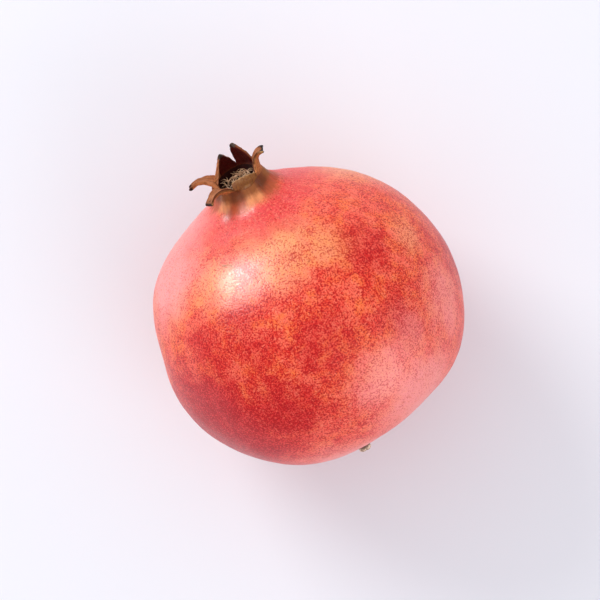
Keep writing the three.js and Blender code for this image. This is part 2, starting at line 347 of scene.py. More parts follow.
LEVEL = 0.9  # a face whose normal is this far along Z lies level
for number, sepal in enumerate(SEPALS.values(), start=1):
    start, end = sepal["edges"]
    middle = radians((start + end) / 2)
    half_width = radians(end - start) / 2

    # The crown is turned until this sepal's place faces +X
    bpy.ops.object.mode_set(mode="EDIT")
    bpy.ops.mesh.select_all(action="SELECT")
    turn_selected(-middle, "Z", (0, 0, 0))
    bpy.ops.mesh.select_all(action="DESELECT")
    bpy.ops.object.mode_set(mode="OBJECT")
    for face in rind.data.polygons:
        on_rim = abs(face.center.z - RIM_HEIGHT * MM) < NEAR and abs(face.normal.z) > LEVEL
        face.select = on_rim and abs(atan2(face.center.y, face.center.x)) < half_width
        if face.select:
            for index in face.vertices:
                x, y, z = rind.data.vertices[index].co
                paint("across_sepal", index, atan2(y, x) / half_width)
    bpy.ops.object.mode_set(mode="EDIT")
    bpy.ops.mesh.select_mode(type="FACE")

    radius = RIM_MIDDLE * MM
    height = RIM_HEIGHT * MM
    slope = 0.0
    width = 1.0
    thickness = 1.0
    step_length = sepal["length"] / SEPAL_STEPS * MM
    for step in range(1, SEPAL_STEPS + 1):
        along = step / SEPAL_STEPS
        half_step = along - 0.5 / SEPAL_STEPS
        middle_slope = radians(sepal["slope"] + sepal["turn"] * half_step ** sepal["late"])
        end_slope = radians(sepal["slope"] + sepal["turn"] * along ** sepal["late"])
        move = Vector((sin(middle_slope), 0, cos(middle_slope))) * step_length
        move.y = sepal["aside"] / SEPAL_STEPS * MM
        bpy.ops.mesh.extrude_region_move(TRANSFORM_OT_translate={"value": move})
        radius += move.x
        height += move.z
        centre = (radius, sepal["aside"] * along * MM, height)
        new_width = blade_width(along, sepal["waist"], sepal["tip"])
        new_thickness = 1 + (TIP_THICKNESS - 1) * along
        # The blade is squared up to the axis while it is narrowed, and then turned to its new slope
        turn_selected(-slope, "Y", centre)
        bpy.ops.transform.resize(
            value=(new_thickness / thickness, new_width / width, 1), center_override=centre
        )
        turn_selected(radians(sepal["tilt"] / SEPAL_STEPS), "X", centre)
        turn_selected(end_slope, "Y", centre)
        slope = end_slope
        width = new_width
        thickness = new_thickness
        bpy.ops.object.mode_set(mode="OBJECT")
        for vertex in rind.data.vertices:
            if vertex.select:
                paint("along_sepal", vertex.index, along)
        bpy.ops.object.mode_set(mode="EDIT")

    # The crown is turned back, and the new faces are put in this sepal's slot
    bpy.ops.mesh.select_all(action="SELECT")
    turn_selected(middle, "Z", (0, 0, 0))
    bpy.ops.object.mode_set(mode="OBJECT")
    heights_along = rind.data.attributes["along_sepal"].data
    for face in rind.data.polygons:
        if face.material_index == 0 and any(heights_along[index].value > 0 for index in face.vertices):
            face.material_index = number

# The neck stands out in a ridge below each sepal and is drawn in between two of them
RIDGE_HEIGHT = 0.8 * MM
RIDGE_FROM = 41 * MM
RIDGE_FULL = 50 * MM
NECK_TOP = (RIM_HEIGHT + 0.1) * MM
for vertex in rind.data.vertices:
    x, y, z = vertex.co
    on_neck = RIDGE_FROM < z < NECK_TOP
    if on_neck and rind.data.attributes["inner_side"].data[vertex.index].value == 0:
        push = RIDGE_HEIGHT * smooth_step(RIDGE_FROM, RIDGE_FULL, z) * ridge(atan2(y, x), z)
        vertex.co.x *= 1 + push / hypot(x, y)
        vertex.co.y *= 1 + push / hypot(x, y)

# The crown leans to +Y, bent over a few rings at a time
CROWN_LEAN = radians(10)
LEAN_PIVOT = Vector((0, 0, 46 * MM))
LEAN_HEIGHTS = (41, 43, 45, 47, 49)
lean_step = -CROWN_LEAN / len(LEAN_HEIGHTS)
upright = [vertex.co.z for vertex in rind.data.vertices]
for lean_height in LEAN_HEIGHTS:
    deselect_mesh()
    for vertex, height in zip(rind.data.vertices, upright):
        vertex.select = height > lean_height * MM
    bpy.ops.object.mode_set(mode="EDIT")
    bpy.ops.mesh.select_mode(type="VERT")
    turn_selected(lean_step, "X", LEAN_PIVOT)
    bpy.ops.object.mode_set(mode="OBJECT")

# Two groups say which part of the skin is globe, and which is dried crown. Then it is laid down with its
# crown to -Y
GLOBE_FADE = (36 * MM, 41 * MM)
CROWN_FADE = (43 * MM, 49 * MM)
globe_part = rind.vertex_groups.new(name="globe")
crown_part = rind.vertex_groups.new(name="crown")
for vertex, height in zip(rind.data.vertices, upright):
    globe_part.add([vertex.index], 1 - smooth_step(*GLOBE_FADE, height), "REPLACE")
    crown_part.add([vertex.index], smooth_step(*CROWN_FADE, height), "REPLACE")
rind.matrix_world = UPRIGHT_TO_LAID
bpy.ops.object.transform_apply(location=True, rotation=True, scale=True)

# The CAD fruit gives the globe its bulges, its ribs and its flat spot. The smoothing that follows draws a
# curved cage in a little, so the cage is held off by as much
SMOOTHING_LOSS = 0.25 * MM
wrap = rind.modifiers.new("wrap", "SHRINKWRAP")
wrap.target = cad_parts["fruit"]
wrap.wrap_method = "NEAREST_SURFACEPOINT"
wrap.wrap_mode = "ABOVE_SURFACE"
wrap.offset = SMOOTHING_LOSS
wrap.vertex_group = "globe"
bpy.ops.object.modifier_apply(modifier="wrap")

smooth_out(rind, 2)


def roughen(piece, name, grain, depth, group=""):
    """Moves the active piece's surface in and out in soft lumps of about the grain's size."""
    lumps = bpy.data.textures.new(name, "CLOUDS")
    lumps.noise_scale = grain
    push = piece.modifiers.new(name, "DISPLACE")
    push.texture = lumps
    push.texture_coords = "LOCAL"
    push.strength = depth
    push.mid_level = 0.5
    push.vertex_group = group
    bpy.ops.object.modifier_apply(modifier=name)


# The globe is faintly uneven, and the dried neck and sepals are wrinkled
roughen(rind, "undulation", 13 * MM, 0.5 * MM, "globe")
roughen(rind, "wrinkles", 1.6 * MM, 0.55 * MM, "crown")
# Nothing reaches below the paper
for vertex in rind.data.vertices:
    vertex.co.z = max(vertex.co.z, 0)

# The sepals are cut off, and the root of each is closed
SHARP = radians(50)
sepal_pieces = {}
for number, name in enumerate(SEPALS, start=1):
    pick_only(rind)
    deselect_mesh()
    for face in rind.data.polygons:
        face.select = face.material_index == number
    bpy.ops.object.mode_set(mode="EDIT")
    bpy.ops.mesh.select_mode(type="FACE")
    bpy.ops.mesh.separate(type="SELECTED")
    bpy.ops.object.mode_set(mode="OBJECT")
    cut_off = [piece for piece in bpy.context.selected_objects if piece != rind][0]
    cut_off.name = f"blade_{number}"
    sepal_pieces[name] = cut_off
for piece in sepal_pieces.values():
    pick_only(piece)
    deselect_mesh()
    bpy.ops.object.mode_set(mode="EDIT")
    bpy.ops.mesh.select_mode(type="EDGE")
    bpy.ops.mesh.select_non_manifold()
    bpy.ops.mesh.fill()
    bpy.ops.mesh.select_all(action="SELECT")
    bpy.ops.mesh.normals_make_consistent(inside=False)
    bpy.ops.object.mode_set(mode="OBJECT")
    bpy.ops.object.shade_smooth_by_angle(angle=SHARP)

# The neck's rim is closed between its outer and inner edge
pick_only(rind)
deselect_mesh()
bpy.ops.object.mode_set(mode="EDIT")
bpy.ops.mesh.select_mode(type="EDGE")
bpy.ops.mesh.select_non_manifold()
bpy.ops.mesh.bridge_edge_loops()
bpy.ops.object.mode_set(mode="OBJECT")
bpy.ops.object.shade_smooth_by_angle(angle=SHARP)


# The rind's finish: a waxy skin. A fine net of dark red specks lies on a ground that runs from salmon to
# orange, with yellow patches, pink patches that are partly painted sheen and highlight, crimson patches that
# are partly painted shade, a deep red ring under the neck, and a dull brown neck with painted light on its
# upward ridges and painted shade in its valleys.


def tint(red, green, blue):
    """A colour from a paint chart, 0 to 255 in each channel, as the shaders take it."""
    linear = []
    for channel in (red / 255, green / 255, blue / 255):
        linear.append(channel / 12.92 if channel <= 0.04045 else ((channel + 0.055) / 1.055) ** 2.4)
    return (*linear, 1)


def add_node(tree, kind, inputs=None, **settings):
    """Adds a shader node. Its inputs, by name or number, take a value or another node's output."""
    made = tree.nodes.new("ShaderNode" + kind)
    for setting, value in settings.items():
        setattr(made, setting, value)
    for socket, value in (inputs or {}).items():
        if isinstance(value, bpy.types.NodeSocket):
            tree.links.new(value, made.inputs[socket])
        else:
            made.inputs[socket].default_value = value
    return made


def calc(tree, operation, *values):
    return add_node(tree, "Math", dict(enumerate(values)), operation=operation).outputs[0]


def fade(tree, value, start, end):
    """0 at the start and 1 at the end, with a smooth change between them."""
    inputs = {"Value": value, "From Min": start, "From Max": end}
    return add_node(tree, "MapRange", inputs, interpolation_type="SMOOTHSTEP").outputs[0]


def lay_over(tree, share, under, over):
    """Lays one colour over another, as far as the share says."""
    return add_node(tree, "Mix", {0: share, 6: under, 7: over}, data_type="RGBA").outputs[2]


def cloud(tree, place, size, detail=2.0):
    """Soft noise with lumps of about the size, in the unit of the place."""
    inputs = {"Vector": place, "Scale": 1 / size, "Detail": detail, "Roughness": 0.55}
    return add_node(tree, "TexNoise", inputs)


def painted(tree, mark):
    return add_node(tree, "Attribute", attribute_name=mark).outputs["Fac"]


def begin_finish(name):
    """Starts a material. Gives the material, its node tree and its shader."""
    finish = bpy.data.materials.new(name)
    finish.use_nodes = True
    return finish, finish.node_tree, finish.node_tree.nodes["Principled BSDF"]


def begin_group(name, inputs, outputs):
    """Starts a node group. Gives the group and its input and output nodes."""
    group = bpy.data.node_groups.new(name, "ShaderNodeTree")
    for socket, (kind, value) in inputs.items():
        made = group.interface.new_socket(socket, in_out="INPUT", socket_type=kind)
        if value is not None:
            made.default_value = value
    for socket in outputs:
        group.interface.new_socket(socket, in_out="OUTPUT", socket_type="NodeSocketFloat")
    return group, group.nodes.new("NodeGroupInput"), group.nodes.new("NodeGroupOutput")


def use_group(tree, group, inputs):
    return add_node(tree, "Group", inputs, node_tree=group)


def upright_place(tree):
    """The place, in mm, that a point of the laid-down fruit has in the fruit's own frame."""
    inputs = {
        "Vector": add_node(tree, "TexCoord").outputs["Object"],
        "Location": GLOBE_MIDDLE,
        "Rotation": (pi / 2 - RAISED, 0, 0),
        "Scale": (MM, MM, MM),
    }
    return add_node(tree, "Mapping", inputs, vector_type="TEXTURE").outputs[0]


# Specks: worm-like specks that cover a share of the surface and join into a net where they are close. They
# are the lumps of a stirred noise that stand over a bar, and the bar is lower where more is covered
SWIRL_SCALE = 0.7
SWIRL_REACH = 1.3
HIGHEST_BAR = 0.68
BAR_DROP = 0.36
CORE_STEP = 0.09
specks, given, result = begin_group(
    "specks",
    {
        "Place": ("NodeSocketVector", None),
        "Spacing": ("NodeSocketFloat", 1.0),
        "Cover": ("NodeSocketFloat", 0.4),
        "Softness": ("NodeSocketFloat", 0.05),
    },
    ("Mask", "Core"),
)
closeness = calc(specks, "DIVIDE", 1.0, given.outputs["Spacing"])
inputs = {0: given.outputs["Place"], "Scale": closeness}
scaled = add_node(specks, "VectorMath", inputs, operation="SCALE").outputs[0]
inputs = {"Vector": scaled, "Scale": SWIRL_SCALE, "Detail": 1.0}
swirl = add_node(specks, "TexNoise", inputs).outputs["Color"]
inputs = {0: swirl, 1: (SWIRL_REACH, SWIRL_REACH, SWIRL_REACH), 2: scaled}
stirred = add_node(specks, "VectorMath", inputs, operation="MULTIPLY_ADD").outputs[0]
inputs = {"Vector": stirred, "Scale": 1.0, "Detail": 1.6, "Roughness": 0.6}
lumps = add_node(specks, "TexNoise", inputs).outputs[0]
bar = calc(specks, "MULTIPLY_ADD", given.outputs["Cover"], -BAR_DROP, HIGHEST_BAR)
low = calc(specks, "SUBTRACT", bar, given.outputs["Softness"])
high = calc(specks, "ADD", bar, given.outputs["Softness"])
specks.links.new(fade(specks, lumps, low, high), result.inputs["Mask"])
low = calc(specks, "ADD", low, CORE_STEP)
high = calc(specks, "ADD", high, CORE_STEP)
specks.links.new(fade(specks, lumps, low, high), result.inputs["Core"])

# Fibres: fine streaks that run along Z
STREAK_FROM = 0.38
STREAK_TO = 0.66
fibres, given, result = begin_group(
    "fibres",
    {
        "Place": ("NodeSocketVector", None),
        "Spacing": ("NodeSocketFloat", 1.0),
        "Length": ("NodeSocketFloat", 12.0),
    },
    ("Mask",),
)
parts = add_node(fibres, "SeparateXYZ", {0: given.outputs["Place"]}).outputs
inputs = {0: parts[0], 1: parts[1], 2: calc(fibres, "DIVIDE", parts[2], given.outputs["Length"])}
stretched = add_node(fibres, "CombineXYZ", inputs).outputs[0]
closeness = calc(fibres, "DIVIDE", 1.0, given.outputs["Spacing"])
inputs = {"Vector": stretched, "Scale": closeness, "Detail": 3.0, "Roughness": 0.6}
streaks = add_node(fibres, "TexNoise", inputs).outputs[0]
fibres.links.new(fade(fibres, streaks, STREAK_FROM, STREAK_TO), result.inputs["Mask"])

# The patches' edges wander, because the direction that they are laid by is stirred
WANDER = 0.28
rind_finish, tree, shader = begin_finish("waxy_rind")
place = upright_place(tree)
direction = add_node(tree, "VectorMath", {0: place}, operation="NORMALIZE").outputs[0]
wander = cloud(tree, place, 12).outputs["Color"]
inputs = {0: wander, 1: (WANDER, WANDER, WANDER), 2: direction}
wandered = add_node(tree, "VectorMath", inputs, operation="MULTIPLY_ADD").outputs[0]


PATCH_CORE = 0.2  # the part of a patch's width that has its full strength


def patches(tree, spots):
    """One mask for soft-edged patches, each given as longitude, latitude, width and strength."""
    mask = 0.0
    for longitude, latitude, width, strength in spots:
        level = cos(radians(latitude))
        turn = radians(longitude)
        middle = Vector((level * cos(turn), level * sin(turn), sin(radians(latitude))))
        middle += Vector((WANDER / 2, WANDER / 2, WANDER / 2))
        away = add_node(tree, "VectorMath", {0: wandered, 1: middle}, operation="DISTANCE").outputs["Value"]
        spot = calc(tree, "MULTIPLY", fade(tree, away, width, width * PATCH_CORE), strength)
        mask = calc(tree, "MAXIMUM", mask, spot)
    return mask


YELLOW_PATCHES = [
    (97, 55, 0.3, 0.8), (50, 46, 0.24, 0.6), (112, 42, 0.26, 0.6), (90, 45, 0.28, 0.6),
    (80, 58, 0.22, 0.6), (22, 38, 0.18, 0.35), (230, 25, 0.5, 0.8), (300, -10, 0.4, 0.7),
    (195, 50, 0.35, 0.7), (150, 22, 0.18, 0.5),
]
# Pink patches: partly the skin's own pale pink, partly painted sheen and highlight where the skin looks pale
# and glossy
PINK_AND_SHEEN_PATCHES = [
    (343, 55, 0.6, 0.9), (5, 46, 0.5, 0.9), (104, -14, 0.34, 0.45), (122, -5, 0.25, 0.4),
    (147, -6, 0.35, 0.5), (119, -32, 0.5, 0.7), (255, 45, 0.5, 0.6), (200, -25, 0.45, 0.6),
    (72, -56, 0.5, 0.75),
]
# Crimson patches: partly the skin's own deep red, partly painted shade on the stem's half of the flank at
# longitudes 20 to 65
CRIMSON_AND_SHADE_PATCHES = [
    (35, -4, 0.55, 1), (38, -18, 0.6, 1), (64, -10, 0.4, 0.7), (18, -20, 0.5, 0.9),
    (44, 22, 0.3, 0.5), (60, 28, 0.26, 0.4), (26, -14, 0.6, 1), (32, -30, 0.5, 1),
    (90, 12, 0.34, 0.45), (62, 18, 0.3, 0.4), (119, 0, 0.26, 0.4), (129, 32, 0.24, 0.5),
    (290, 35, 0.4, 0.7), (175, 0, 0.4, 0.6),
]
yellow = patches(tree, YELLOW_PATCHES)
pink_and_sheen = patches(tree, PINK_AND_SHEEN_PATCHES)
crimson_and_shade = patches(tree, CRIMSON_AND_SHADE_PATCHES)

upright_height = painted(tree, "upright_height")
valley = painted(tree, "valley")
inner_side = painted(tree, "inner_side")
broad = cloud(tree, place, 15).outputs[0]
medium = cloud(tree, place, 4.5, 3).outputs[0]
small = cloud(tree, place, 1.7, 2).outputs[0]

# The deep red ring under the neck
RING_WANDER = 12.0
RING_FOOT = (43, 48)
RING_TOP = (47.5, 44.5)
ring_noise = calc(tree, "MULTIPLY_ADD", broad, RING_WANDER, upright_height)
ring_foot = fade(tree, ring_noise, *RING_FOOT)
red_ring = calc(tree, "MULTIPLY", ring_foot, fade(tree, upright_height, *RING_TOP))
red_ring = calc(tree, "MULTIPLY", red_ring, calc(tree, "MULTIPLY_ADD", pink_and_sheen, -0.9, 1.0))

# How much of the surface the specks cover. Each noise has its mean at a half
MEAN_COVER = 0.46
MEDIUM_PART = 0.8
BROAD_PART = 0.3
least_cover = MEAN_COVER - MEDIUM_PART / 2 - BROAD_PART / 2
cover = calc(tree, "MULTIPLY_ADD", medium, MEDIUM_PART, least_cover)
cover = calc(tree, "MULTIPLY_ADD", broad, BROAD_PART, cover)
# More specks where the crimson's painted shade lies, fewer under the pink's painted sheen and highlight
cover = calc(tree, "MULTIPLY_ADD", crimson_and_shade, 0.24, cover)
cover = calc(tree, "MULTIPLY_ADD", pink_and_sheen, -0.26, cover)
cover = calc(tree, "MULTIPLY_ADD", red_ring, -0.16, cover)
cover = calc(tree, "MULTIPLY_ADD", yellow, -0.16, cover)
net_parts = use_group(tree, specks, {"Place": place, "Spacing": 0.5, "Cover": cover, "Softness": 0.08})
net, cores = net_parts.outputs
inputs = {"Place": place, "Spacing": 0.44, "Cover": 0.12, "Softness": 0.05}
dots = use_group(tree, specks, inputs).outputs[0]

# The ground's colours, laid one over the other
SALMON = tint(253, 108, 82)
ORANGE = tint(254, 118, 60)
DENSE_RED = tint(242, 66, 48)
STEMWARD_RED = tint(238, 74, 70)
GROUND_YELLOW = tint(250, 170, 114)
GROUND_PINK_AND_SHEEN = tint(250, 158, 156)
GROUND_CRIMSON_AND_SHADE = tint(210, 38, 50)
RING_RED = tint(230, 54, 64)
STEMWARD_FADE = (14, -24)
height = add_node(tree, "SeparateXYZ", {0: place}).outputs[2]
hue_noise = cloud(tree, place, 7, 3).outputs["Color"]
hue = add_node(tree, "SeparateColor", {0: hue_noise}).outputs[0]
ground = lay_over(tree, fade(tree, hue, 0.42, 0.6), SALMON, ORANGE)
ground = lay_over(tree, fade(tree, cover, 0.35, 0.7), ground, DENSE_RED)
stemward = calc(tree, "MULTIPLY", fade(tree, height, *STEMWARD_FADE), 0.4)
ground = lay_over(tree, stemward, ground, STEMWARD_RED)
ground = lay_over(tree, yellow, ground, GROUND_YELLOW)
# The pink is partly painted sheen and highlight, and the crimson partly painted shade
ground = lay_over(tree, pink_and_sheen, ground, GROUND_PINK_AND_SHEEN)
ground = lay_over(tree, calc(tree, "MULTIPLY", crimson_and_shade, 0.7), ground, GROUND_CRIMSON_AND_SHADE)
ground = lay_over(tree, calc(tree, "MULTIPLY", red_ring, 0.85), ground, RING_RED)

# The specks' colours, which follow the patch that they lie in
SPECK_SCARLET = tint(226, 24, 16)
SPECK_RED = tint(206, 8, 12)
SPECK_CRIMSON_AND_SHADE = tint(188, 4, 24)
SPECK_IN_YELLOW = tint(206, 92, 44)
SPECK_IN_PINK_AND_SHEEN = tint(214, 78, 78)
FLECK_ORANGE = tint(255, 152, 118)
CORE_RED = tint(160, 4, 10)
DOT_RED = tint(146, 6, 10)
speck_colour = lay_over(tree, fade(tree, small, 0.4, 0.62), SPECK_SCARLET, SPECK_RED)
# In the crimson patches the specks are darker, partly as painted shade, and in the pink ones paler, partly
# as painted sheen
speck_colour = lay_over(tree, calc(tree, "MULTIPLY", crimson_and_shade, 0.8), speck_colour, SPECK_CRIMSON_AND_SHADE)
speck_colour = lay_over(tree, calc(tree, "MULTIPLY", yellow, 0.7), speck_colour, SPECK_IN_YELLOW)
speck_colour = lay_over(tree, calc(tree, "MULTIPLY", pink_and_sheen, 0.6), speck_colour, SPECK_IN_PINK_AND_SHEEN)
inputs = {"Place": place, "Spacing": 0.74, "Cover": 0.3, "Softness": 0.05}
flecks = use_group(tree, specks, inputs).outputs[0]
fleck_share = calc(tree, "MULTIPLY", flecks, calc(tree, "MULTIPLY_ADD", crimson_and_shade, -0.25, 0.35))
ground = lay_over(tree, fleck_share, ground, FLECK_ORANGE)
# The specks fade under the pink patches, partly as painted sheen and highlight
net_share = calc(tree, "MULTIPLY", net, calc(tree, "MULTIPLY_ADD", pink_and_sheen, -0.35, 0.85))
colour = lay_over(tree, net_share, ground, speck_colour)
core_share = calc(tree, "MULTIPLY", cores, calc(tree, "MULTIPLY_ADD", pink_and_sheen, -0.5, 0.6))
core_share = calc(tree, "MULTIPLY", core_share, calc(tree, "MULTIPLY_ADD", yellow, -0.7, 1.0))
colour = lay_over(tree, core_share, colour, CORE_RED)
dot_share = calc(tree, "MULTIPLY", dots, calc(tree, "MULTIPLY_ADD", pink_and_sheen, -0.7, 0.45))
dot_share = calc(tree, "MULTIPLY", dot_share, calc(tree, "MULTIPLY_ADD", yellow, -0.7, 1.0))
colour = lay_over(tree, dot_share, colour, DOT_RED)

# Pale streaks run along the meridians near both ends
STREAK_RADIUS = 30
CROWN_END = (22, 40)
STEM_END = (-20, -38)
flat = add_node(tree, "VectorMath", {0: place, 1: (1, 1, 0)}, operation="MULTIPLY").outputs[0]
flat = add_node(tree, "VectorMath", {0: flat}, operation="NORMALIZE").outputs[0]
axial = add_node(tree, "VectorMath", {0: place, 1: (0, 0, 1)}, operation="MULTIPLY").outputs[0]
inputs = {0: flat, 1: (STREAK_RADIUS, STREAK_RADIUS, 0), 2: axial}
meridian = add_node(tree, "VectorMath", inputs, operation="MULTIPLY_ADD").outputs[0]
streaks = use_group(tree, fibres, {"Place": meridian, "Spacing": 1.5, "Length": 14.0}).outputs[0]
near_ends = calc(tree, "MAXIMUM", fade(tree, height, *CROWN_END), fade(tree, height, *STEM_END))
streak_share = calc(tree, "MULTIPLY", calc(tree, "MULTIPLY", streaks, near_ends), 0.2)
colour = lay_over(tree, streak_share, colour, tint(238, 118, 104))

# Corky blemishes, and the scar round the stem
CORK_SPOTS = [(56, 53, 0.03, 0.9), (100, 41, 0.035, 0.8), (250, 10, 0.05, 0.8), (310, -30, 0.04, 0.8)]
cork = patches(tree, CORK_SPOTS)
colour = lay_over(tree, cork, colour, tint(158, 98, 52))
STEM_PLACE = (3, 0, -42)
SCAR_EDGE = (6.5, 4)
inputs = {0: place, 1: STEM_PLACE}
from_stem = add_node(tree, "VectorMath", inputs, operation="DISTANCE").outputs["Value"]
from_stem = calc(tree, "MULTIPLY_ADD", small, 2.5, from_stem)
scar = calc(tree, "MULTIPLY", fade(tree, from_stem, *SCAR_EDGE), 0.85)
colour = lay_over(tree, scar, colour, tint(150, 104, 66))

# The neck dries from orange at its foot to brown at its rim. Its ridges on the side that faces up are paler,
# which is painted light, and its valleys between the sepals are darker, which is painted shade.
NECK_FOOT = (46.3, 49.2)
NECK_DRIED = (49.2, 52)
wavering = calc(tree, "MULTIPLY_ADD", small, 2.4, upright_height)
wavering = calc(tree, "MULTIPLY_ADD", valley, 1.2, wavering)
on_neck = fade(tree, wavering, *NECK_FOOT)
dried = fade(tree, wavering, *NECK_DRIED)
# Painted light: the ridges on the side that faces up, towards the lamps, are paler
LIT_SIDE = (cos(radians(75)), sin(radians(75)), 0)
facing_light = add_node(tree, "VectorMath", {0: flat, 1: LIT_SIDE}, operation="DOT_PRODUCT").outputs["Value"]
neck_ridge_with_painted_light = lay_over(tree, fade(tree, facing_light, 0.3, 0.9), tint(196, 84, 56), tint(240, 152, 96))
neck_ridge_with_painted_light = lay_over(tree, dried, neck_ridge_with_painted_light, tint(158, 92, 44))
# Painted shade: the valleys between the sepals take a darker brown
neck_valley_with_painted_shade = lay_over(tree, dried, tint(190, 84, 46), tint(124, 62, 26))
neck_colour = lay_over(tree, fade(tree, valley, 0.2, 0.75), neck_ridge_with_painted_light, neck_valley_with_painted_shade)
grain = use_group(tree, fibres, {"Place": meridian, "Spacing": 1.9, "Length": 9.0}).outputs[0]
neck_colour = lay_over(tree, calc(tree, "MULTIPLY", grain, 0.2), neck_colour, tint(120, 52, 28))
colour = lay_over(tree, on_neck, colour, neck_colour)
colour = lay_over(tree, inner_side, colour, tint(58, 14, 10))

# The specks are sunk a little, and the skin has pores. It is duller on the neck
BUMP_HEIGHT = 0.08 * MM
relief = calc(tree, "MULTIPLY_ADD", net, -0.25, medium)
pores = cloud(tree, place, 0.5, 2).outputs[0]
relief = calc(tree, "MULTIPLY_ADD", pores, 0.35, relief)
relief = calc(tree, "MULTIPLY_ADD", calc(tree, "MULTIPLY", grain, on_neck), 0.5, relief)
inputs = {"Height": relief, "Distance": BUMP_HEIGHT, "Strength": 1.0}
bumps = add_node(tree, "Bump", inputs)
dullness = calc(tree, "MULTIPLY_ADD", small, 0.16, 0.28)
dullness = calc(tree, "MULTIPLY_ADD", on_neck, 0.2, dullness)
tree.links.new(colour, shader.inputs["Base Color"])
tree.links.new(dullness, shader.inputs["Roughness"])
tree.links.new(bumps.outputs[0], shader.inputs["Normal"])
shader.inputs["Specular IOR Level"].default_value = 0.3

rind.data.materials.clear()
rind.data.materials.append(rind_finish)
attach(rind, "root")
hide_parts("fruit")


# The sepals' finish: dry leathery blades, rust-tan and fibrous outside and dark-tipped. The two that stand
# as points are very dark inside, and the broken one has a pale edge.

BLADE_HALF_WIDTH = 4.0  # mm, about, for the fibres' pattern
BLADE_LENGTH = 10.0
FIBRE_BROWN = tint(118, 56, 28)
MOTTLE_BROWN = tint(104, 40, 24)
INNER_FIBRE_BROWN = tint(84, 30, 18)
ROOT_BROWN = tint(120, 60, 30)


def sepal_finish(name, outer, inner, tip):
    """A finish with a tint for the outer side, for the inner side and for the tip."""
    finish, tree, shader = begin_finish(name)
    place = upright_place(tree)
    along = painted(tree, "along_sepal")
    across = calc(tree, "MULTIPLY", painted(tree, "across_sepal"), BLADE_HALF_WIDTH)
    along_mm = calc(tree, "MULTIPLY", along, BLADE_LENGTH)
    on_blade = add_node(tree, "CombineXYZ", {0: across, 1: 0.0, 2: along_mm}).outputs[0]
    grain = use_group(tree, fibres, {"Place": on_blade, "Spacing": 0.5, "Length": 9.0}).outputs[0]
    inputs = {"Place": place, "Spacing": 1.3, "Cover": 0.45, "Softness": 0.1}
    mottle = use_group(tree, specks, inputs).outputs[0]
    colour = lay_over(tree, calc(tree, "MULTIPLY", grain, 0.5), outer, FIBRE_BROWN)
    colour = lay_over(tree, calc(tree, "MULTIPLY", mottle, 0.3), colour, MOTTLE_BROWN)
    inner_colour = lay_over(tree, calc(tree, "MULTIPLY", grain, 0.4), inner, INNER_FIBRE_BROWN)
    inside = fade(tree, painted(tree, "inner_side"), 0.35, 0.75)
    colour = lay_over(tree, inside, colour, inner_colour)
    root = fade(tree, along, 0.1, 0.0)
    colour = lay_over(tree, calc(tree, "MULTIPLY", root, 0.5), colour, ROOT_BROWN)
    ragged = calc(tree, "MULTIPLY_ADD", mottle, 0.1, along)
    colour = lay_over(tree, fade(tree, ragged, 0.85, 1.02), colour, tip)
    relief = calc(tree, "MULTIPLY_ADD", mottle, -0.4, grain)
    inputs = {"Height": relief, "Distance": 0.12 * MM, "Strength": 1.0}
    bumps = add_node(tree, "Bump", inputs)
    tree.links.new(colour, shader.inputs["Base Color"])
    tree.links.new(calc(tree, "MULTIPLY_ADD", mottle, 0.15, 0.6), shader.inputs["Roughness"])
    tree.links.new(bumps.outputs[0], shader.inputs["Normal"])
    shader.inputs["Specular IOR Level"].default_value = 0.2
    return finish


TIP_BROWN = tint(52, 34, 30)
tongue_finish = sepal_finish("dry_tongue", tint(206, 126, 70), tint(192, 116, 70), TIP_BROWN)
upright_finish = sepal_finish("dark_blade", tint(160, 92, 54), tint(92, 12, 6), tint(84, 68, 58))
broken_finish = sepal_finish("broken_blade", tint(140, 88, 38), tint(96, 44, 24), tint(176, 128, 78))
SEPAL_FINISHES = {
    "sepal_1": broken_finish,
    "sepal_2": tongue_finish,
    "sepal_3": tongue_finish,
    "sepal_4": upright_finish,
    "sepal_5": upright_finish,
    "sepal_6": tongue_finish,
}
for name, piece in sepal_pieces.items():
    piece.data.materials.clear()
    piece.data.materials.append(SEPAL_FINISHES[name])
    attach(piece, "root")
    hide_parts(name)


# The stamens: dried threads that stand in rings inside the cup, each tipped with a shrivelled anther. Three
# loose curls are modelled and copied, each copy spun and leaned its own way. Real threads are thinner and
# more than the CAD model's stamens, so each of those is shown as a tuft of four.

THREAD_RADIUS = 0.17
THREAD_SIDES = 6
THREAD_STEPS = 12
CURLS = (
    {"bend": 190, "twist": 90, "late": 1.5},
    {"bend": 270, "twist": -140, "late": 1.9},
    {"bend": 140, "twist": 180, "late": 1.1},
)


ANTHER = ((1.7, 0.12), (1.25, 0.35), (0.6, 0.25), (0.4, 0.1))  # the growth and the length in mm of each step


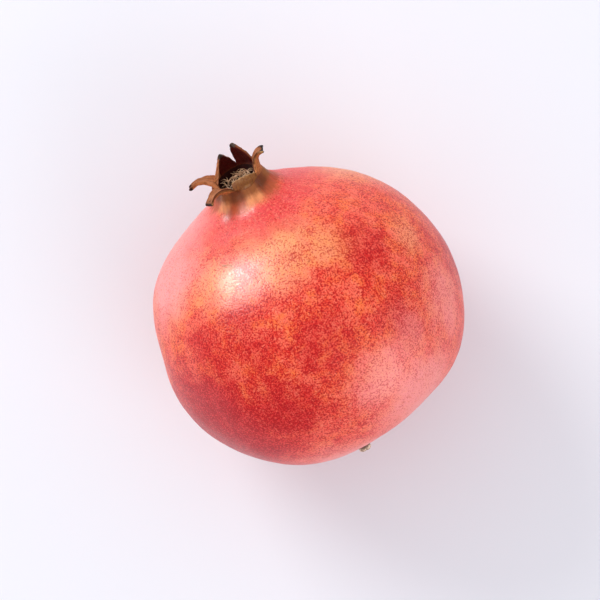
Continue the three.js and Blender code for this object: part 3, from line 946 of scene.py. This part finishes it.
def model_thread(name, length, curl):
    """A thread of a length in mm that stands at the origin, climbs along Z and curls over at its end."""
    bpy.ops.object.select_all(action="DESELECT")
    bpy.ops.mesh.primitive_circle_add(vertices=THREAD_SIDES, radius=THREAD_RADIUS * MM, fill_type="NGON")
    thread = bpy.context.object
    thread.name = name
    bpy.ops.object.mode_set(mode="EDIT")
    bpy.ops.mesh.select_mode(type="FACE")
    bpy.ops.mesh.select_all(action="SELECT")
    end = Vector((0, 0, 0))
    slope = 0.0
    heading = 0.0
    for step in range(1, THREAD_STEPS + 1):
        along = step / THREAD_STEPS
        new_slope = radians(curl["bend"] * along ** curl["late"])
        heading += radians(curl["twist"]) / THREAD_STEPS
        side = Vector((-sin(heading), cos(heading), 0))
        towards = Matrix.Rotation(new_slope, 3, side) @ Vector((0, 0, 1))
        move = towards * length / THREAD_STEPS * MM
        bpy.ops.mesh.extrude_region_move(TRANSFORM_OT_translate={"value": move})
        end += move
        bpy.ops.transform.rotate(
            value=-(new_slope - slope),
            orient_axis="Z",
            orient_matrix=side.to_track_quat("Z", "Y").to_matrix(),
            center_override=end,
        )
        slope = new_slope
    # The anther is a short swelling
    for swell, stride in ANTHER:
        move = towards * stride * MM
        bpy.ops.mesh.extrude_region_move(TRANSFORM_OT_translate={"value": move})
        end += move
        bpy.ops.transform.resize(value=(swell, swell, swell), center_override=end)
    bpy.ops.mesh.select_all(action="SELECT")
    bpy.ops.mesh.normals_make_consistent(inside=False)
    bpy.ops.object.mode_set(mode="OBJECT")
    smooth_out(thread, 1)
    bpy.ops.object.shade_smooth()
    return thread


# Painted shade: the threads are darkened deep in the cup
PAINTED_SHADE_DEPTH = (51.6, 48.6)
thread_finish, tree, shader = begin_finish("dry_thread")
place = upright_place(tree)
inputs = {"Place": place, "Spacing": 0.9, "Cover": 0.4, "Softness": 0.12}
mottle = use_group(tree, specks, inputs).outputs[0]
colour = lay_over(tree, calc(tree, "MULTIPLY", mottle, 0.6), tint(240, 196, 152), tint(190, 120, 84))
depth = add_node(tree, "SeparateXYZ", {0: place}).outputs[2]
colour = lay_over(tree, fade(tree, depth, *PAINTED_SHADE_DEPTH), colour, tint(70, 26, 18))
tree.links.new(colour, shader.inputs["Base Color"])
shader.inputs["Roughness"].default_value = 0.65
inputs = {"Height": mottle, "Distance": 0.03 * MM}
tree.links.new(add_node(tree, "Bump", inputs).outputs[0], shader.inputs["Normal"])

STAMEN_RINGS = [
    {"count": 18, "root_radius": 4.5, "root_height": 48.1, "length": 7.2, "inwards": 14},
    {"count": 13, "root_radius": 3.2, "root_height": 46.9, "length": 8.4, "inwards": 6},
    {"count": 7, "root_radius": 2.1, "root_height": 46.2, "length": 9, "inwards": 0},
]
SEED = 7
chance = random.Random(SEED)
crown_frame = (
    UPRIGHT_TO_LAID
    @ Matrix.Translation(LEAN_PIVOT)
    @ Matrix.Rotation(-CROWN_LEAN, 4, "X")
    @ Matrix.Translation(-LEAN_PIVOT)
)
TUFT = 4
TUFT_SPREAD = 0.35  # mm
LEAN_SPREAD = 7  # degrees
tuft_number = 0
for ring in STAMEN_RINGS:
    models = [model_thread(f"curl_{number}", ring["length"], curl) for number, curl in enumerate(CURLS)]
    for index in range(ring["count"]):
        tuft_number += 1
        threads = []
        for member in range(TUFT):
            pick_only(models[(index + member) % len(models)])
            bpy.ops.object.duplicate(linked=False)
            thread = bpy.context.object
            longitude = 2 * pi * (index + (member - 1) / TUFT) / ring["count"] + ring["root_radius"]
            from_axis = ring["root_radius"] + chance.uniform(-TUFT_SPREAD, TUFT_SPREAD)
            inwards = radians(ring["inwards"] + chance.uniform(-LEAN_SPREAD, LEAN_SPREAD))
            spin = chance.uniform(0, 2 * pi)
            size = chance.uniform(0.8, 1.05)
            thread.matrix_world = (
                crown_frame
                @ Matrix.Rotation(longitude, 4, "Z")
                @ Matrix.Translation((from_axis * MM, 0, ring["root_height"] * MM))
                @ Matrix.Rotation(-inwards, 4, "Y")
                @ Matrix.Rotation(spin, 4, "Z")
                @ Matrix.Scale(size, 4)
            )
            bpy.ops.object.transform_apply(location=True, rotation=True, scale=True)
            threads.append(thread)
        for thread in threads:
            thread.select_set(True)
        bpy.ops.object.join()
        tuft = bpy.context.object
        tuft.name = f"tuft_{tuft_number:02d}"
        tuft.data.materials.clear()
        tuft.data.materials.append(thread_finish)
        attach(tuft, "root")
        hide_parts(f"stamen_{tuft_number:02d}")
    for model in models:
        bpy.data.objects.remove(model)


# The style: the flower's dried middle stalk. It stands in the middle of the stamens, and ends in a small
# blunt knob.

STYLE_OUTLINE = [
    (0.95, 45.3), (0.75, 46.2), (0.55, 47.4), (0.46, 48.8), (0.5, 49.8), (0.78, 50.5), (0.74, 51),
    (0.4, 51.2),
]
STYLE_SIDES = 12


def model_turned(name, rings, sides):
    """A round piece drawn up from its lowest ring, closed at both ends."""
    bpy.ops.object.select_all(action="DESELECT")
    radius, height = rings[0]
    bpy.ops.mesh.primitive_circle_add(
        vertices=sides, radius=radius * MM, fill_type="NGON", location=(0, 0, height * MM)
    )
    piece = bpy.context.object
    piece.name = name
    bpy.ops.object.transform_apply(location=True, rotation=True, scale=True)
    bpy.ops.object.mode_set(mode="EDIT")
    bpy.ops.mesh.select_mode(type="FACE")
    bpy.ops.mesh.select_all(action="SELECT")
    draw_up(rings)
    bpy.ops.mesh.select_all(action="SELECT")
    bpy.ops.mesh.normals_make_consistent(inside=False)
    bpy.ops.object.mode_set(mode="OBJECT")
    return piece


stalk = model_turned("stalk", STYLE_OUTLINE, STYLE_SIDES)
smooth_out(stalk, 2)
stalk.matrix_world = crown_frame
bpy.ops.object.transform_apply(location=True, rotation=True, scale=True)
roughen(stalk, "stalk_wrinkles", 0.6 * MM, 0.2 * MM)
bpy.ops.object.shade_smooth()
stalk.data.materials.append(thread_finish)
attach(stalk, "root")
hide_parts("style")


# The stem's stub: the woody stalk that the fruit hung from, broken off short. It has grey-brown flaking bark
# round pale wood.

stem_low, stem_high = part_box("stem_stub")
stem_middle = UPRIGHT_TO_LAID.inverted() @ ((Vector(stem_low) + Vector(stem_high)) / 2)
ROOTED_LENGTH = 5.9
STEM_LENGTH = 7.2
STEM_SIDES = 16
BARE_WOOD = (0.9, 1.7)  # how far from the broken end the bark begins and is whole, in mm
STEM_RINGS = [
    (1.75, 0.5), (2.25, 0.1), (2.2, -0.7), (1.95, -1.7), (1.85, -3), (1.95, -4.6), (2.1, -6.4),
    (1.9, -7.2), (1.4, -7), (0.5, -6.8),
]
foot = stem_middle.z / MM + ROOTED_LENGTH / 2
stub = model_turned("stub", [(radius, foot + drop) for radius, drop in STEM_RINGS], STEM_SIDES)
smooth_out(stub, 2)
end_wood = stub.data.attributes.new("end_wood", "FLOAT", "POINT")
for vertex in stub.data.vertices:
    from_end = vertex.co.z / MM - foot + STEM_LENGTH
    end_wood.data[vertex.index].value = 1 - smooth_step(*BARE_WOOD, from_end)
stub.matrix_world = UPRIGHT_TO_LAID @ Matrix.Translation((stem_middle.x, stem_middle.y, 0))
bpy.ops.object.transform_apply(location=True, rotation=True, scale=True)
roughen(stub, "bark", 1.1 * MM, 0.5 * MM)
bpy.ops.object.shade_smooth()

bark_finish, tree, shader = begin_finish("bark_and_cut_wood")
place = upright_place(tree)
grain = use_group(tree, fibres, {"Place": place, "Spacing": 0.6, "Length": 8.0}).outputs[0]
inputs = {"Place": place, "Spacing": 0.8, "Cover": 0.5, "Softness": 0.05}
flakes = use_group(tree, specks, inputs).outputs[0]
bark = lay_over(tree, grain, tint(150, 120, 96), tint(92, 62, 50))
bark = lay_over(tree, calc(tree, "MULTIPLY", flakes, 0.5), bark, tint(64, 42, 38))
wood = lay_over(tree, calc(tree, "MULTIPLY", flakes, 0.7), tint(240, 216, 188), tint(120, 88, 66))
colour = lay_over(tree, painted(tree, "end_wood"), bark, wood)
tree.links.new(colour, shader.inputs["Base Color"])
shader.inputs["Roughness"].default_value = 0.8
inputs = {"Height": calc(tree, "ADD", grain, flakes), "Distance": 0.1 * MM}
tree.links.new(add_node(tree, "Bump", inputs).outputs[0], shader.inputs["Normal"])
stub.data.materials.append(bark_finish)
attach(stub, "root")
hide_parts("stem_stub")


low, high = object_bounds()
